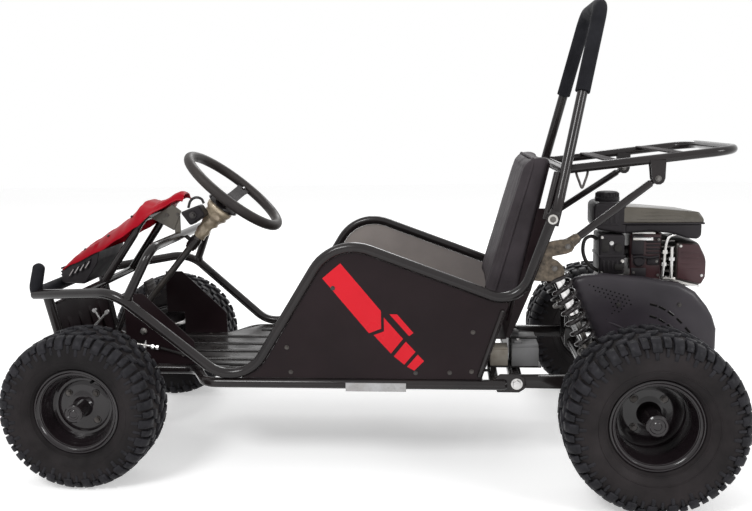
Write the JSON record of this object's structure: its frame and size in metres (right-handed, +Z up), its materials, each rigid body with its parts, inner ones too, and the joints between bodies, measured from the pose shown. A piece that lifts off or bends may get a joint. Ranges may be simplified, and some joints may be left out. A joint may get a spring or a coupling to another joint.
{
  "type": "off-road go-kart",
  "caption": "Single-seat off-road go-kart: bent tube frame, roll bar, steered knobbly front wheels, and a sprung swing arm with a small engine.",
  "frame": {"origin": "on the ground under the middle of the kart's length and width", "axes": "-X forwards, +X to the rear, -Y to the kart's left, +Y to its right, +Z up"},
  "size_m": [1.5635, 0.93, 1.0048],
  "materials": {
    "black_frame": "gloss black paint",
    "black_sheet": "satin black paint on sheet",
    "black_vinyl": "grained vinyl over foam",
    "foam": "dull black foam sleeve",
    "red_plastic": "gloss red",
    "black_plastic": "matt black",
    "grey_plastic": "matt grey",
    "red_engine": "dark red",
    "engine_casting": "rough casting",
    "steel": "dull steel",
    "zinc": "bright zinc",
    "grip_rubber": "moulded grip",
    "cable_rubber": "black sleeve",
    "tyre_rubber": "worn rubber",
    "black_rim": "gloss black"
  },
  "bodies": {
    "frame": {"floor_frame": "black_frame", "front_beam": "black_frame", "front_bumper": "foam", "steering_hoop": "black_frame", "roll_bar": "black_frame", "roll_bar_pad": "foam", "floor_pan": "black_sheet", "seat_shell": "black_sheet", "seat_cushion": "black_vinyl", "seat_back": "black_vinyl", "nose_cover": "red_plastic", "nose_grille": "black_plastic", "nose_frame": "black_frame", "cargo_rack": "black_frame", "battery": "grey_plastic", "brake_cable": "cable_rubber", "side_tube_left": "black_frame", "side_tube_right": "black_frame", "side_panel_left": "black_sheet", "side_panel_right": "black_sheet", "footwell_left": "black_sheet", "footwell_right": "black_sheet", "rack_strut_left": "black_frame", "rack_strut_right": "black_frame"},
    "steering": {"steering_shaft": "steel", "steering_wheel": "grip_rubber"},
    "knuckle_left": {"knuckle_left": "steel"},
    "knuckle_right": {"knuckle_right": "steel"},
    "tie_rod_left": {"tie_rod_left": "zinc"},
    "tie_rod_right": {"tie_rod_right": "zinc"},
    "front_wheel_left": {"front_tyre_left": "tyre_rubber", "front_rim_left": "black_rim"},
    "front_wheel_right": {"front_tyre_right": "tyre_rubber", "front_rim_right": "black_rim"},
    "swing_arm": {"swing_arm": "black_frame", "crankcase": "engine_casting", "engine_shroud": "red_engine", "fuel_tank": "black_plastic", "air_filter_box": "black_plastic", "muffler": "steel", "drive_chain": "steel", "drive_guard": "black_plastic", "brake_caliper": "engine_casting"},
    "fuel_cap": {"fuel_cap": "black_plastic"},
    "clutch": {"clutch_drum": "steel"},
    "rear_axle": {"rear_axle": "steel", "rear_sprocket": "steel", "brake_disc": "steel", "rear_tyre_left": "tyre_rubber", "rear_tyre_right": "tyre_rubber", "rear_rim_left": "black_rim", "rear_rim_right": "black_rim"},
    "shock_body_left": {"shock_body_left": "black_frame", "shock_spring_left": "black_frame"},
    "shock_body_right": {"shock_body_right": "black_frame", "shock_spring_right": "black_frame"},
    "shock_rod_left": {"shock_rod_left": "zinc"},
    "shock_rod_right": {"shock_rod_right": "zinc"},
    "brake_pedal": {"brake_pedal": "steel"},
    "throttle_pedal": {"throttle_pedal": "steel"}
  },
  "joints": [
    {"name": "steering_turn", "type": "hinge", "parent": "frame", "child": "steering", "pos_m": [-0.335, 0, 0.592], "axis": [0.6388, 0, 0.7694], "range_deg": [-28, 28]},
    {"name": "knuckle_left_turn", "type": "hinge", "parent": "frame", "child": "knuckle_left", "pos_m": [-0.595, -0.222, 0.166], "axis": [0, 0, 1], "range_deg": [-21.5, 21.5]},
    {"name": "knuckle_right_turn", "type": "hinge", "parent": "frame", "child": "knuckle_right", "pos_m": [-0.595, 0.222, 0.166], "axis": [0, 0, 1], "range_deg": [-21.5, 21.5]},
    {"name": "tie_rod_left_turn", "type": "hinge", "parent": "knuckle_left", "child": "tie_rod_left", "pos_m": [-0.52, -0.214, 0.2283], "axis": [0, 0, 1], "range_deg": [-24, 24]},
    {"name": "tie_rod_right_turn", "type": "hinge", "parent": "knuckle_right", "child": "tie_rod_right", "pos_m": [-0.52, 0.214, 0.2283], "axis": [0, 0, 1], "range_deg": [-24, 24]},
    {"name": "front_wheel_left_spin", "type": "hinge", "parent": "knuckle_left", "child": "front_wheel_left", "pos_m": [-0.595, -0.323, 0.16595], "axis": [0, 1, 0], "continuous": true},
    {"name": "front_wheel_right_spin", "type": "hinge", "parent": "knuckle_right", "child": "front_wheel_right", "pos_m": [-0.595, 0.323, 0.16595], "axis": [0, 1, 0], "continuous": true},
    {"name": "swing_arm_rise", "type": "hinge", "parent": "frame", "child": "swing_arm", "pos_m": [0.317, 0, 0.199], "axis": [0, -1, 0], "range_deg": [0, 7], "stiffness_Nm_per_rad": 3400, "springref_deg": -2.86},
    {"name": "rear_axle_spin", "type": "hinge", "parent": "swing_arm", "child": "rear_axle", "pos_m": [0.566, 0, 0.17638], "axis": [0, 1, 0], "continuous": true},
    {"name": "clutch_spin", "type": "hinge", "parent": "swing_arm", "child": "clutch", "pos_m": [0.598, -0.165, 0.33], "axis": [0, 1, 0], "continuous": true},
    {"name": "shock_left_lean", "type": "hinge", "parent": "frame", "child": "shock_body_left", "pos_m": [0.392, -0.23, 0.446], "axis": [0, -1, 0], "range_deg": [-0.5, 1]},
    {"name": "shock_right_lean", "type": "hinge", "parent": "frame", "child": "shock_body_right", "pos_m": [0.392, 0.23, 0.446], "axis": [0, -1, 0], "range_deg": [-0.5, 1]},
    {"name": "shock_left_slide", "type": "slide", "parent": "shock_body_left", "child": "shock_rod_left", "axis": [-0.4018, 0, 0.9157], "range_m": [0, 0.022], "deforming": ["shock_spring_left"]},
    {"name": "shock_right_slide", "type": "slide", "parent": "shock_body_right", "child": "shock_rod_right", "axis": [-0.4018, 0, 0.9157], "range_m": [0, 0.022], "deforming": ["shock_spring_right"]},
    {"name": "fuel_cap_turn", "type": "hinge", "parent": "swing_arm", "child": "fuel_cap", "pos_m": [0.524, -0.08, 0.5705], "axis": [0, 0, 1], "range_deg": [0, 90]},
    {"name": "brake_pedal_press", "type": "hinge", "parent": "frame", "child": "brake_pedal", "pos_m": [-0.626, -0.085, 0.197], "axis": [0, -1, 0], "range_deg": [0, 15], "stiffness_Nm_per_rad": 6, "springref_deg": -17.19},
    {"name": "throttle_pedal_press", "type": "hinge", "parent": "frame", "child": "throttle_pedal", "pos_m": [-0.626, 0.085, 0.197], "axis": [0, -1, 0], "range_deg": [0, 15], "stiffness_Nm_per_rad": 6, "springref_deg": -17.19}
  ],
  "couplings": [
    {"joint": "knuckle_left_turn", "follows": "steering_turn", "ratio": 0.75},
    {"joint": "knuckle_right_turn", "follows": "steering_turn", "ratio": 0.75},
    {"joint": "tie_rod_left_turn", "follows": "steering_turn", "ratio": -0.83},
    {"joint": "tie_rod_right_turn", "follows": "steering_turn", "ratio": -0.83},
    {"joint": "clutch_spin", "follows": "rear_axle_spin", "ratio": 3},
    {"joint": "shock_left_lean", "follows": "swing_arm_rise", "ratio": 0.051},
    {"joint": "shock_right_lean", "follows": "swing_arm_rise", "ratio": 0.051},
    {"joint": "shock_left_slide", "follows": "swing_arm_rise", "m_per_rad": 0.168},
    {"joint": "shock_right_slide", "follows": "swing_arm_rise", "m_per_rad": 0.168}
  ]
}
